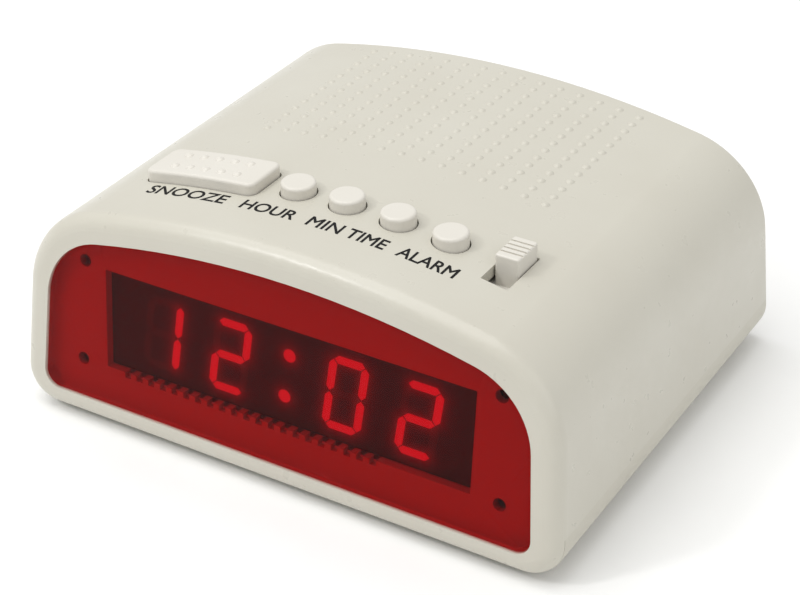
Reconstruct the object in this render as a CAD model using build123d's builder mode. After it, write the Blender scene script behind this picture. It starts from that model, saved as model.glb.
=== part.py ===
from build123d import *
import math
import os

os.makedirs("parts", exist_ok=True)

# A mains LED alarm clock: a loaf-shaped housing with a red lens in its leaning front, keys and a
# slide switch on its crown, and the electronics on boards inside. X runs to the right, Y to the
# back and Z up. The origin lies on the table under the middle of the clock.

# ---- Housing ----
WIDTH = 110.0  # across the foot of the side walls
DEPTH = 87.6  # front to back along the floor
FRONT_Y = -44.4  # the rear ends further in, because the cord bush stands out behind it
HEIGHT = 44.2  # floor to the top of the crown
FOOT_RISE = 1.0  # the rubber feet stand this far out of the floor
WALL = 2.0
DRAFT = 4.5  # degrees that each side wall leans inwards
FRONT_TILT = 6.3  # degrees that the front leans back
REAR_TILT = 3.0  # degrees that the rear leans forward
CROWN_R = 185.0
SHOULDER_R = 18.0
CORNER_R = 6.7  # lower side corners
FRONT_FILLET = 3.0
REAR_FILLET = 1.3
SEAM = 8.2  # height of the joint between case and base, above the floor
RIM = 2.3  # the case keeps this much depth as a frame around the lens, down to the floor
FIT = 0.1  # gap left around pieces that drop into each other
CROWN_AXIS = FOOT_RISE + HEIGHT - CROWN_R  # height of the crown's centre line

# ---- Lens, panel and display ----
LENS_SIDE = 5.0  # white margin left of, right of and above the lens
LENS_FOOT = 4.35  # white margin under it
LENS_SHOULDER_R = 13.9
LENS_CORNER_R = 3.1
LENS_T = 2.0
PANEL_T = 1.6  # white panel behind the lens
PANEL_BACK = RIM + PANEL_T
WINDOW_W, WINDOW_H, WINDOW_U = 73.8, 19.1, 20.4  # U is measured up the leaning front
PEGS = [(-42.3, 10.8), (42.3, 10.8), (-41.3, 30.5), (41.3, 30.5)]
PEG_R = 1.1
DIGIT_H, DIGIT_W, STROKE, SLANT = 14.2, 7.7, 1.5, 6.0  # a standard 0.56 inch digit
DIGIT_XS = [-25.8, -11.6, 11.6, 25.8]
DIGIT_U = 20.0
COLON_RISE, COLON_R = 4.0, 1.2
PIN_PITCH, PIN_COUNT, PIN = 2.54, 21, 0.6
PIN_START, PIN_U = -32.4, 10.3
MODULE_W, MODULE_H, MODULE_U, MODULE_T = 76.4, 20.0, 20.9, 5.0
MODULE_FRONT = PANEL_BACK + FIT  # depth of the display's face behind the front
MODULE_BACK = MODULE_FRONT + MODULE_T
SEGMENT_T = 2.0
BOARD_T = 1.6
DISPLAY_BOARD_W, DISPLAY_BOARD_H, DISPLAY_BOARD_U = 82.4, 23.0, 20.0
DISPLAY_BOSSES = [(-39.9, 20.4), (39.9, 20.4)]
DISPLAY_BOSS_R = 1.6
PIN_FRONT, PIN_BACK = 3.0, 11.8

# ---- Keys and switch on the crown ----
KEY_Y = -20.5
KEY_XS = {"hour": -8.2, "minute": 1.6, "time": 11.6, "alarm": 21.6}
KEY_R, KEY_RISE = 3.1, 2.2
FLANGE_T = 1.0
FLANGE_LIP = 1.1  # how far a flange reaches past its opening's edge
KEY_GAP = 0.25
KEY_EDGE = 0.6
SNOOZE_X, SNOOZE_W, SNOOZE_D = -26.0, 23.0, 9.5
SNOOZE_PITCH_X, SNOOZE_PITCH_Y = 3.3, 4.2
KNOB_X, KNOB_W, KNOB_D, KNOB_RISE = 32.7, 4.4, 6.8, 2.8
KNOB_HOME = 2.0  # the knob rests this far behind the middle of its slot
KNOB_TRAVEL = 4.0
KEY_BOARD_TOP = FOOT_RISE + 32.2
PLUNGER_TOP = KEY_BOARD_TOP + 5.0
PLUNGER_R = 1.7

# ---- Pips on the crown ----
PIP_R, PIP_H = 0.8, 0.35
PIP_COLS, PIP_ROWS = 15, 13
PIP_PITCH_X, PIP_PITCH_Y, PIP_FRONT = 4.06, 3.1, -0.3

# ---- Base ----
BOSS_XY = [(-44.5, -32.0), (44.5, -32.0), (-44.5, 36.0), (44.5, 36.0)]
BOSS_R, SCREW_R = 3.0, 1.2
FOOT_XY = [(-33.0, -34.0), (33.0, -34.0), (-33.0, 37.0), (33.0, 37.0)]
FOOT_R, FOOT_T = 4.0, 2.0
BAY_X, BAY_Y, BAY_W, BAY_D, BAY_H = 18.5, 16.0, 52.0, 27.4, 20.5  # 9 V battery bay
BAY_WALL, BAY_FLOOR = 1.5, 3.2  # the floor is thicker around the bay
DOOR_W, DOOR_D, DOOR_T = 54.6, 29.2, 1.6
DOOR_GAP = 0.2
HINGE_X = BAY_X - DOOR_W / 2 + DOOR_T / 2
HINGE_Z = FOOT_RISE + DOOR_T / 2
HINGE_PIN_R, HINGE_PIN = 0.7, 1.6
LEAD_DROP, LEAD_GAP_W, LEAD_GAP_H = 2.5, 11.0, 4.2  # way out of the bay for its two leads
BUSH_X, BUSH_U, BUSH_R, BUSH_BORE, BUSH_L = -36.0, 17.0, 4.5, 2.6, 8.0
BUSH_FLANGE_R, BUSH_FLANGE_T = 6.0, 1.5

# ---- Boards and transformer ----
MAIN_W, MAIN_D, MAIN_Y, MAIN_TOP = 92.0, 26.0, -14.5, FOOT_RISE + 8.6
MAIN_POSTS = [(-42.0, -24.5), (42.0, -24.5), (-42.0, -4.5), (42.0, -4.5)]
KEY_BOARD_W, KEY_BOARD_D, KEY_BOARD_Y = 88.0, 17.5, -19.0
KEY_POSTS = [(-41.6, -20.3), (40.5, -20.3), (-11.3, -12.6), (16.5, -12.6)]
POST_R = 2.2
SMALL_SCREW_R, SMALL_HEAD_R, SMALL_HEAD_T, SMALL_SCREW_L = 0.8, 1.6, 1.1, 6.0
HEAD_R, HEAD_T, COUNTERBORE = 2.3, 1.8, 4.2
SCREW_PLAY = 0.05
TRAFO_X, TRAFO_Y, TRAFO_Z = -31.5, 17.0, FOOT_RISE + WALL + 3.0
CORE_W, CORE_D, CORE_H, CORE_LIMB = 28.2, 12.0, 23.5, 4.7  # EI-28 laminations
STRAP_T, STRAP_D, STRAP_FOOT = 0.8, 9.0, 4.2
STRAP_XS = [TRAFO_X + side * (CORE_W / 2 + STRAP_T + 1.9) for side in (-1, 1)]

FRONT_NORMAL = (0, -math.cos(math.radians(FRONT_TILT)), math.sin(math.radians(FRONT_TILT)))
REAR_NORMAL = (0, math.cos(math.radians(REAR_TILT)), math.sin(math.radians(REAR_TILT)))
FRONT = Plane(origin=(0, FRONT_Y, FOOT_RISE), x_dir=(1, 0, 0), z_dir=FRONT_NORMAL)
REAR = Plane(origin=(0, FRONT_Y + DEPTH, FOOT_RISE), x_dir=(-1, 0, 0), z_dir=REAR_NORMAL)


def at(x, y, z):
    """Horizontal plane with its origin at a point."""
    return Plane(origin=(x, y, z))


def crown_height(x, inset=0.0):
    """Height of the crown, or of the surface inset below it, at a distance x from the middle."""
    return CROWN_AXIS + math.sqrt((CROWN_R - inset) ** 2 - x**2)


def finish(builder, label):
    """Label a finished piece and write it to its file."""
    builder.part.label = label
    export_step(builder.part, f"parts/{label}.step")


def arch(half_width, floor, top, crown_r, shoulder_r, corner_r, inset=0.0):
    """Loaf section: flat floor, leaning walls, round shoulders and a shallow crown."""
    lean = math.radians(DRAFT)
    crown_z = top - crown_r
    reach = half_width + math.tan(lean) * floor - shoulder_r / math.cos(lean)
    a = 1 + math.tan(lean) ** 2
    b = -2 * math.tan(lean) * reach - 2 * crown_z
    c = reach**2 + crown_z**2 - (crown_r - shoulder_r) ** 2
    shoulder_z = (-b + math.sqrt(b * b - 4 * a * c)) / (2 * a)
    shoulder_x = reach - math.tan(lean) * shoulder_z
    turn = math.degrees(math.atan2(shoulder_z - crown_z, shoulder_x))
    corner_x = half_width - math.tan(lean) * corner_r - corner_r / math.cos(lean)
    with BuildSketch() as section:
        with BuildLine():
            corner = CenterArc((corner_x, floor + corner_r), corner_r - inset, -90, 90 + DRAFT)
            shoulder = CenterArc((shoulder_x, shoulder_z), shoulder_r - inset, DRAFT, turn - DRAFT)
            Line(corner @ 1, shoulder @ 0)
            mirror(about=Plane.YZ)
            CenterArc((0, crown_z), crown_r - inset, turn, 180 - 2 * turn)
            Line((-corner_x, floor + inset), (corner_x, floor + inset))
        make_face()
    return section.sketch


def housing_section(inset):
    """The housing's own section, moved inwards by inset."""
    top = FOOT_RISE + HEIGHT
    return arch(WIDTH / 2, FOOT_RISE, top, CROWN_R, SHOULDER_R, CORNER_R, inset)


def lens_section(gap):
    """The lens outline on the leaning front, moved inwards by gap."""
    rise = 1 / math.cos(math.radians(FRONT_TILT))
    half_width = WIDTH / 2 - LENS_SIDE - math.tan(math.radians(DRAFT)) * LENS_FOOT
    top = (HEIGHT - LENS_SIDE) * rise
    crown = CROWN_R - LENS_SIDE
    return arch(half_width, LENS_FOOT * rise, top, crown, LENS_SHOULDER_R, LENS_CORNER_R, gap)


def block(inset, front_gap, rear_gap):
    """Solid with the housing's section, inset, between its leaning front and rear."""
    with BuildPart() as solid:
        with BuildSketch(Plane.XZ):
            add(housing_section(inset))
        extrude(amount=DEPTH, both=True)
        split(bisect_by=FRONT.offset(-front_gap), keep=Keep.BOTTOM)
        split(bisect_by=REAR.offset(-rear_gap), keep=Keep.BOTTOM)
    return solid.part


def below(height, front_gap):
    """Everything under a height above the floor, behind a plane parallel to the front."""
    with BuildPart() as solid:
        with BuildSketch(at(0, 0, 0)):
            Rectangle(2 * WIDTH, 2 * DEPTH)
        extrude(amount=FOOT_RISE + height)
        split(bisect_by=FRONT.offset(-front_gap), keep=Keep.BOTTOM)
    return solid.part


with BuildPart() as envelope:
    add(block(0, 0, 0))
    fillet(envelope.faces().sort_by(Axis.Y)[0].edges(), FRONT_FILLET)
    fillet(envelope.faces().sort_by(Axis.Y)[-1].edges(), REAR_FILLET)

# ---- Case: crown, sides, rear and the frame around the lens, in one moulding ----
LIP_T, LIP_H = 1.0, 1.5  # tongue on the base's wall, inside the case's wall

with BuildPart() as case:
    add(envelope.part)
    add(block(WALL, PANEL_BACK, WALL), mode=Mode.SUBTRACT)
    # The frame reaches the floor, and a narrower lip behind it fits inside the base.
    lip = below(SEAM, RIM) - block(WALL + FIT, 0, 0)
    add(lip, mode=Mode.SUBTRACT)
    add(below(SEAM, PANEL_BACK), mode=Mode.SUBTRACT)
    rabbet = below(SEAM + LIP_H + FIT, RIM) - below(SEAM, 0)
    rabbet = rabbet & block(WALL - LIP_T - FIT, 0, WALL - LIP_T - FIT) & block(0, PANEL_BACK, 0)
    add(rabbet, mode=Mode.SUBTRACT)
    # Pocket for the lens, holes for its pegs and the notched display window.
    with BuildSketch(FRONT):
        add(lens_section(0))
    extrude(amount=-RIM, mode=Mode.SUBTRACT)
    with BuildSketch(FRONT.offset(-RIM)):
        with Locations((0, WINDOW_U)):
            Rectangle(WINDOW_W, WINDOW_H)
        with Locations([(PIN_START + i * PIN_PITCH, PIN_U + PIN) for i in range(PIN_COUNT)]):
            Rectangle(1.3, 2.2)
        with Locations(PEGS):
            Circle(PEG_R + FIT)
    extrude(amount=-PANEL_T, mode=Mode.SUBTRACT)
    # Openings in the crown for the keys, the snooze bar and the knob.
    with BuildSketch(at(0, 0, FOOT_RISE + HEIGHT / 2)):
        with Locations([(x, KEY_Y) for x in KEY_XS.values()]):
            Circle(KEY_R + KEY_GAP)
        with Locations((SNOOZE_X, KEY_Y)):
            RectangleRounded(SNOOZE_W + 2 * KEY_GAP, SNOOZE_D + 2 * KEY_GAP, 1.8)
        with Locations((KNOB_X, KEY_Y)):
            Rectangle(KNOB_W + 2 * KEY_GAP, KNOB_D + KNOB_TRAVEL + 2 * KEY_GAP)
    extrude(amount=HEIGHT, mode=Mode.SUBTRACT)
    # Hole for the cord bush.
    with BuildSketch(REAR):
        with Locations((-BUSH_X, BUSH_U)):
            Circle(BUSH_R + FIT)
    extrude(amount=-2 * WALL, mode=Mode.SUBTRACT)
    # Screw posts: four long ones for the base, four short ones for the key board.
    with BuildPart(mode=Mode.PRIVATE) as posts:
        with BuildSketch(at(0, 0, FOOT_RISE + SEAM)):
            with Locations(BOSS_XY):
                Circle(BOSS_R)
        extrude(amount=HEIGHT)
        with BuildSketch(at(0, 0, KEY_BOARD_TOP)):
            with Locations(KEY_POSTS):
                Circle(POST_R)
        extrude(amount=HEIGHT)
    add(posts.part & block(WALL / 2, PANEL_BACK - PANEL_T / 2, WALL / 2))
    with BuildSketch(at(0, 0, FOOT_RISE + SEAM)):
        with Locations(BOSS_XY):
            Circle(SCREW_R + SCREW_PLAY)
    extrude(amount=12, mode=Mode.SUBTRACT)
    with BuildSketch(at(0, 0, KEY_BOARD_TOP)):
        with Locations(KEY_POSTS):
            Circle(SMALL_SCREW_R + SCREW_PLAY)
    extrude(amount=6, mode=Mode.SUBTRACT)
    # Two bosses behind the panel that the display board is screwed to.
    with BuildSketch(FRONT.offset(-PANEL_BACK)):
        with Locations(DISPLAY_BOSSES):
            Circle(DISPLAY_BOSS_R)
            Circle(SMALL_SCREW_R + SCREW_PLAY, mode=Mode.SUBTRACT)
    extrude(amount=PANEL_BACK - MODULE_BACK)
    # Low round pips in a grid over the rear of the crown.
    pip_sphere = (PIP_R**2 + PIP_H**2) / (2 * PIP_H)
    pip_places = []
    for row in range(PIP_ROWS):
        for col in range(PIP_COLS):
            x = (col - (PIP_COLS - 1) / 2) * PIP_PITCH_X
            z = crown_height(x) + PIP_H - pip_sphere
            pip_places.append((x, PIP_FRONT + row * PIP_PITCH_Y, z))
    with Locations(pip_places):
        Sphere(pip_sphere, rotation=(0, 0, 40))
finish(case, "case")

# ---- Base: a tray that closes the housing from below, with the battery bay moulded in ----
with BuildPart() as base:
    add(envelope.part & below(SEAM, RIM + FIT))
    add(block(WALL, 0, WALL), mode=Mode.SUBTRACT)
    tongue = below(SEAM + LIP_H, RIM) - below(SEAM, 0)
    tongue = tongue & block(WALL - LIP_T, PANEL_BACK + FIT, WALL - LIP_T)
    add(tongue - block(WALL, 0, WALL))
    with BuildSketch(at(0, 0, FOOT_RISE + WALL / 2)):
        with Locations(BOSS_XY):
            Circle(BOSS_R)
    extrude(amount=SEAM - WALL / 2)
    with BuildSketch(at(0, 0, FOOT_RISE + WALL / 2)):
        with Locations(MAIN_POSTS):
            Circle(POST_R)
    extrude(amount=MAIN_TOP - BOARD_T - FOOT_RISE - WALL / 2)
    with BuildSketch(at(0, 0, FOOT_RISE + WALL / 2)):
        with Locations([(x, TRAFO_Y) for x in STRAP_XS]):
            Circle(POST_R)
    extrude(amount=TRAFO_Z - FOOT_RISE - WALL / 2)
    # Battery bay: a box upside down on a thicker patch of the floor.
    with BuildSketch(at(BAY_X, BAY_Y, FOOT_RISE)):
        Rectangle(BAY_W + 2 * BAY_WALL + 3, BAY_D + 2 * BAY_WALL + 3)
    extrude(amount=BAY_FLOOR)
    with BuildSketch(at(BAY_X, BAY_Y, FOOT_RISE)):
        Rectangle(BAY_W + 2 * BAY_WALL, BAY_D + 2 * BAY_WALL)
    extrude(amount=BAY_H + BAY_WALL)
    with BuildSketch(at(BAY_X, BAY_Y, FOOT_RISE)):
        Rectangle(BAY_W, BAY_D)
    extrude(amount=BAY_H, mode=Mode.SUBTRACT)
    with BuildSketch(at(BAY_X, BAY_Y, FOOT_RISE)):
        Rectangle(DOOR_W + 2 * DOOR_GAP, DOOR_D + 2 * DOOR_GAP)
    extrude(amount=DOOR_T + DOOR_GAP, mode=Mode.SUBTRACT)
    # Pockets for the door's hinge pins, open downwards so that the pins snap in.
    with BuildSketch(at(HINGE_X, BAY_Y, FOOT_RISE)):
        Rectangle(2 * HINGE_PIN_R + 2 * FIT, DOOR_D + 2 * HINGE_PIN + 2 * DOOR_GAP)
    extrude(amount=DOOR_T / 2 + HINGE_PIN_R + FIT, mode=Mode.SUBTRACT)
    # Finger notch beside the door's free edge.
    with BuildSketch(at(BAY_X + DOOR_W / 2, BAY_Y, FOOT_RISE)):
        SlotOverall(14, 5, rotation=90)
    extrude(amount=1.2, mode=Mode.SUBTRACT)
    # Gap in the bay's end wall for the battery leads.
    lead_gap = (BAY_X - BAY_W / 2, BAY_Y, FOOT_RISE + BAY_H - LEAD_DROP)
    with BuildSketch(Plane(origin=lead_gap, x_dir=(0, 1, 0), z_dir=(-1, 0, 0))):
        Rectangle(LEAD_GAP_W, LEAD_GAP_H)
    extrude(amount=2 * BAY_WALL, mode=Mode.SUBTRACT)
    # Screw holes, counterbored from below, and recesses for the feet.
    with BuildSketch(at(0, 0, FOOT_RISE)):
        with Locations(BOSS_XY):
            Circle(HEAD_R + 0.2)
    extrude(amount=COUNTERBORE, mode=Mode.SUBTRACT)
    with BuildSketch(at(0, 0, FOOT_RISE)):
        with Locations(BOSS_XY):
            Circle(SCREW_R + 0.2)
    extrude(amount=SEAM + 1, mode=Mode.SUBTRACT)
    with BuildSketch(at(0, 0, FOOT_RISE)):
        with Locations(FOOT_XY):
            Circle(FOOT_R + FIT)
    extrude(amount=FOOT_T - FOOT_RISE, mode=Mode.SUBTRACT)
    with BuildSketch(at(0, 0, FOOT_RISE + WALL)):
        with Locations(MAIN_POSTS):
            Circle(SMALL_SCREW_R + SCREW_PLAY)
    extrude(amount=MAIN_TOP, mode=Mode.SUBTRACT)
    with BuildSketch(at(0, 0, FOOT_RISE + WALL / 2)):
        with Locations([(x, TRAFO_Y) for x in STRAP_XS]):
            Circle(SMALL_SCREW_R + SCREW_PLAY)
    extrude(amount=TRAFO_Z, mode=Mode.SUBTRACT)
    # Vent slots under the transformer and sound holes under the buzzer.
    with BuildSketch(at(TRAFO_X, TRAFO_Y, FOOT_RISE)):
        with GridLocations(5, 1, 5, 1):
            SlotOverall(20, 2, rotation=90)
    extrude(amount=2 * WALL, mode=Mode.SUBTRACT)
    with BuildSketch(at(30, -14.5, FOOT_RISE)):
        Circle(1)
        with PolarLocations(4, 6):
            Circle(1)
    extrude(amount=2 * WALL, mode=Mode.SUBTRACT)
finish(base, "base")

# ---- Battery door: hinged at its left edge on two short pins ----
with BuildPart() as battery_door:
    with BuildSketch(Plane.XZ.offset(-BAY_Y)):
        with Locations((HINGE_X, HINGE_Z)):
            Circle(DOOR_T / 2)
        with Locations((HINGE_X, HINGE_Z)):
            Rectangle(DOOR_W - DOOR_T / 2, DOOR_T, align=(Align.MIN, Align.CENTER))
    extrude(amount=DOOR_D / 2, both=True)
    with BuildSketch(Plane.XZ.offset(-BAY_Y)):
        with Locations((HINGE_X, HINGE_Z)):
            Circle(HINGE_PIN_R)
    extrude(amount=DOOR_D / 2 + HINGE_PIN, both=True)
    # Finger dent and grip ribs near the free edge, cut into the underside.
    with BuildSketch(at(BAY_X + DOOR_W / 2 - 7, BAY_Y, FOOT_RISE)):
        with GridLocations(2, 1, 4, 1):
            Rectangle(0.8, 16)
    extrude(amount=0.4, mode=Mode.SUBTRACT)
finish(battery_door, "battery_door")

# ---- Lens: a red plate in the frame's pocket, with four pegs through the panel ----
with BuildPart() as lens:
    with BuildSketch(FRONT.offset(LENS_T - RIM)):
        add(lens_section(FIT))
    extrude(amount=-LENS_T)
    chamfer(lens.faces().sort_by(Axis.Y)[0].edges(), 0.25)
    with BuildSketch(FRONT.offset(-RIM)):
        with Locations(PEGS):
            Circle(PEG_R)
    extrude(amount=-PANEL_T - 0.7)
finish(lens, "lens")

# ---- Display: reflector housing, light segments, board and its pin row ----


def segment_bars(x):
    """The seven bars of one slanted digit, as closed outlines on the leaning front."""
    half_w = (DIGIT_W - STROKE) / 2
    half_h = (DIGIT_H - STROKE) / 2
    half = STROKE / 2
    gap = 0.14
    lean = math.tan(math.radians(SLANT))

    def bar(cx, cy, length, upright):
        tip = length / 2 - gap
        top = [(-tip, 0), (half - tip, half), (tip - half, half)]
        outline = top + [(-u, -v) for u, v in top]
        if upright:
            outline = [(-v, u) for u, v in outline]
        return [(x + cx + u + lean * (cy + v), DIGIT_U + cy + v) for u, v in outline]

    bars = [bar(0, level * half_h, 2 * half_w, False) for level in (1, 0, -1)]
    bars += [bar(side * half_w, level * half_h / 2, half_h, True) for side in (-1, 1) for level in (-1, 1)]
    return bars


def segment_faces():
    """Sketch of every bar and both colon dots."""
    with BuildSketch() as sketch:
        for x in DIGIT_XS:
            for outline in segment_bars(x):
                Polygon(*outline, align=None)
        lean = math.tan(math.radians(SLANT))
        for side in (-1, 1):
            with Locations((side * COLON_RISE * lean, DIGIT_U + side * COLON_RISE)):
                Circle(COLON_R)
    return sketch.sketch


with BuildPart() as display_housing:
    with BuildSketch(FRONT.offset(-MODULE_FRONT)):
        with Locations((0, MODULE_U)):
            Rectangle(MODULE_W, MODULE_H)
    extrude(amount=-MODULE_T)
    with BuildSketch(FRONT.offset(-MODULE_FRONT)):
        add(segment_faces())
    extrude(amount=-SEGMENT_T, mode=Mode.SUBTRACT)
finish(display_housing, "display_housing")

with BuildPart() as display_segments:
    with BuildSketch(FRONT.offset(-MODULE_FRONT)):
        add(segment_faces())
    extrude(amount=-SEGMENT_T)
finish(display_segments, "display_segments")

PIN_XS = [PIN_START + i * PIN_PITCH for i in range(PIN_COUNT)]

with BuildPart() as display_board:
    with BuildSketch(FRONT.offset(-MODULE_BACK)):
        with Locations((0, DISPLAY_BOARD_U)):
            Rectangle(DISPLAY_BOARD_W, DISPLAY_BOARD_H)
        with Locations([(x, PIN_U) for x in PIN_XS]):
            Rectangle(PIN, PIN, mode=Mode.SUBTRACT)
        with Locations(DISPLAY_BOSSES):
            Circle(SMALL_SCREW_R + SCREW_PLAY, mode=Mode.SUBTRACT)
    extrude(amount=-BOARD_T)
finish(display_board, "display_board")

with BuildPart() as display_pins:
    with BuildSketch(FRONT.offset(-PIN_FRONT)):
        with Locations([(x, PIN_U) for x in PIN_XS]):
            Rectangle(PIN, PIN)
    extrude(amount=PIN_FRONT - PIN_BACK)
finish(display_pins, "display_pins")


def screws(seats, shank_r, head_r, head_t, length):
    """Pan-head screws, one per seat plane; each seat's normal points from shank to head."""
    with BuildPart() as group:
        for seat in seats:
            with BuildSketch(seat):
                Circle(head_r)
            extrude(amount=head_t)
            with BuildSketch(seat):
                Circle(shank_r)
            extrude(amount=-length)
            with BuildSketch(seat.offset(head_t)):
                Rectangle(1.4 * head_r, 0.25 * head_r)
                Rectangle(0.25 * head_r, 1.4 * head_r)
            extrude(amount=-head_t / 2, mode=Mode.SUBTRACT)
    return group


def small_screws(seats):
    return screws(seats, SMALL_SCREW_R, SMALL_HEAD_R, SMALL_HEAD_T, SMALL_SCREW_L)


display_seats = []
for boss_x, boss_u in DISPLAY_BOSSES:
    back = FRONT.offset(-MODULE_BACK - BOARD_T)
    origin = back.from_local_coords((boss_x, boss_u, 0))
    display_seats.append(Plane(origin=origin, x_dir=(-1, 0, 0), z_dir=-back.z_dir))
finish(small_screws(display_seats), "display_screws")

# ---- Main board with its components ----
with BuildPart() as main_board:
    with BuildSketch(at(0, 0, MAIN_TOP)):
        with Locations((0, MAIN_Y)):
            Rectangle(MAIN_W, MAIN_D)
        with Locations(MAIN_POSTS):
            Circle(SMALL_SCREW_R + SCREW_PLAY, mode=Mode.SUBTRACT)
    extrude(amount=-BOARD_T)
finish(main_board, "main_board")

main_seats = [at(x, y, MAIN_TOP) for x, y in MAIN_POSTS]
finish(small_screws(main_seats), "main_board_screws")

CHIP_X, CHIP_W, CHIP_D, CHIP_H, CHIP_LIFT = -12.0, 35.6, 13.8, 3.8, 0.8
CHIP_LEGS, LEG_SPREAD = 14, 7.6

with BuildPart() as clock_chip:
    with BuildSketch(at(CHIP_X, MAIN_Y, MAIN_TOP + CHIP_LIFT)):
        Rectangle(CHIP_W, CHIP_D)
    extrude(amount=CHIP_H)
    with BuildSketch(at(CHIP_X - CHIP_W / 2, MAIN_Y, MAIN_TOP + CHIP_LIFT + CHIP_H)):
        Circle(1.2)
    extrude(amount=-0.5, mode=Mode.SUBTRACT)
    for side in (-1, 1):
        with BuildSketch(at(CHIP_X, MAIN_Y + side * LEG_SPREAD, MAIN_TOP)):
            with GridLocations(PIN_PITCH, 1, CHIP_LEGS, 1):
                Rectangle(0.5, 0.3)
        extrude(amount=CHIP_LIFT + CHIP_H / 2)
        with BuildSketch(at(CHIP_X, MAIN_Y + side * (LEG_SPREAD + CHIP_D / 2) / 2, MAIN_TOP + 2.4)):
            with GridLocations(PIN_PITCH, 1, CHIP_LEGS, 1):
                Rectangle(1.2, LEG_SPREAD - CHIP_D / 2 + 0.3)
        extrude(amount=0.3)
finish(clock_chip, "clock_chip")

CAPACITORS = [(14.0, -8.0, 5.0, 16.0), (-36.0, -11.0, 4.0, 12.0), (24.5, -6.0, 2.5, 8.0)]

with BuildPart() as capacitors:
    for x, y, radius, height in CAPACITORS:
        with BuildSketch(at(x, y, MAIN_TOP)):
            Circle(radius)
        extrude(amount=height)
    fillet(capacitors.edges().filter_by(GeomType.CIRCLE).group_by(Axis.Z)[-1], 0.6)
finish(capacitors, "capacitors")


def axial_parts(places, radius, length, lift):
    """Small cylinders lying along X on two bent leads each."""
    with BuildPart() as group:
        for x, y in places:
            axis = Plane(origin=(x, y, MAIN_TOP + lift), z_dir=(1, 0, 0))
            with BuildSketch(axis):
                Circle(radius)
            extrude(amount=length / 2, both=True)
            with BuildSketch(axis):
                Circle(0.3)
            extrude(amount=length / 2 + 1.2, both=True)
            with BuildSketch(at(x, y, MAIN_TOP)):
                with Locations((-length / 2 - 1, 0), (length / 2 + 1, 0)):
                    Circle(0.3)
            extrude(amount=lift)
    return group


DIODES = [(-30.0 + 8.0 * i, -4.6) for i in range(4)]
RESISTORS = [(-37.0, -17.6), (-37.0, -19.9), (-37.0, -22.2), (27.0, -24.0), (35.5, -22.0), (35.5, -24.4)]
finish(axial_parts(DIODES, 1.3, 4.6, 1.6), "diodes")
finish(axial_parts(RESISTORS, 0.9, 3.8, 1.2), "resistors")

with BuildPart() as transistors:
    for x, y in [(22.0, -13.0), (-43.0, -12.0)]:
        with BuildSketch(at(x, y, MAIN_TOP + 2)):
            Circle(2.3)
            with Locations((0, 1.2)):
                Rectangle(5, 2.3, align=(Align.CENTER, Align.MIN), mode=Mode.SUBTRACT)
        extrude(amount=4.6)
        with BuildSketch(at(x, y, MAIN_TOP)):
            with GridLocations(1.27, 1, 3, 1):
                Rectangle(0.4, 0.4)
        extrude(amount=2)
finish(transistors, "transistors")

BUZZER_X, BUZZER_Y, BUZZER_R, BUZZER_H = 33.0, -13.5, 6.0, 9.5

with BuildPart() as buzzer:
    with BuildSketch(at(BUZZER_X, BUZZER_Y, MAIN_TOP)):
        Circle(BUZZER_R)
    extrude(amount=BUZZER_H)
    fillet(buzzer.faces().sort_by(Axis.Z)[-1].edges(), 0.5)
    with BuildSketch(at(BUZZER_X, BUZZER_Y, MAIN_TOP + BUZZER_H)):
        Circle(1.1)
    extrude(amount=-4, mode=Mode.SUBTRACT)
finish(buzzer, "buzzer")

# ---- Transformer: E-I laminations, bobbin, winding and a strap with two feet ----
WINDOW_Z = TRAFO_Z + CORE_LIMB
WINDOW_HIGH = CORE_H - 2 * CORE_LIMB
COIL_W, COIL_D = 4 * CORE_LIMB - 0.4, 22.0

with BuildPart() as transformer_core:
    with BuildSketch(at(TRAFO_X, TRAFO_Y, TRAFO_Z)):
        Rectangle(CORE_W, CORE_D)
    extrude(amount=CORE_H)
    with BuildSketch(at(TRAFO_X, TRAFO_Y, WINDOW_Z)):
        with GridLocations(3 * CORE_LIMB, 1, 2, 1):
            Rectangle(CORE_LIMB, 2 * CORE_D)
    extrude(amount=WINDOW_HIGH, mode=Mode.SUBTRACT)
finish(transformer_core, "transformer_core")

HUB_W, HUB_D, CHEEK_T = 2 * CORE_LIMB + 2, CORE_D + 2, 1.0

with BuildPart() as transformer_bobbin:
    with BuildSketch(at(TRAFO_X, TRAFO_Y, WINDOW_Z + 0.1)):
        Rectangle(HUB_W, HUB_D)
    extrude(amount=WINDOW_HIGH - 0.2)
    for z in (WINDOW_Z + 0.1, WINDOW_Z + WINDOW_HIGH - 0.1 - CHEEK_T):
        with BuildSketch(at(TRAFO_X, TRAFO_Y, z)):
            Rectangle(COIL_W, COIL_D)
        extrude(amount=CHEEK_T)
    with BuildSketch(at(TRAFO_X, TRAFO_Y, TRAFO_Z)):
        Rectangle(2 * CORE_LIMB + 0.1, CORE_D + 0.1)
    extrude(amount=CORE_H, mode=Mode.SUBTRACT)
finish(transformer_bobbin, "transformer_bobbin")

with BuildPart() as transformer_winding:
    with BuildSketch(at(TRAFO_X, TRAFO_Y, WINDOW_Z + 0.1 + CHEEK_T)):
        RectangleRounded(COIL_W - 1, COIL_D - 1, 2)
        Rectangle(HUB_W, HUB_D, mode=Mode.SUBTRACT)
    extrude(amount=WINDOW_HIGH - 0.2 - 2 * CHEEK_T)
finish(transformer_winding, "transformer_winding")

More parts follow.
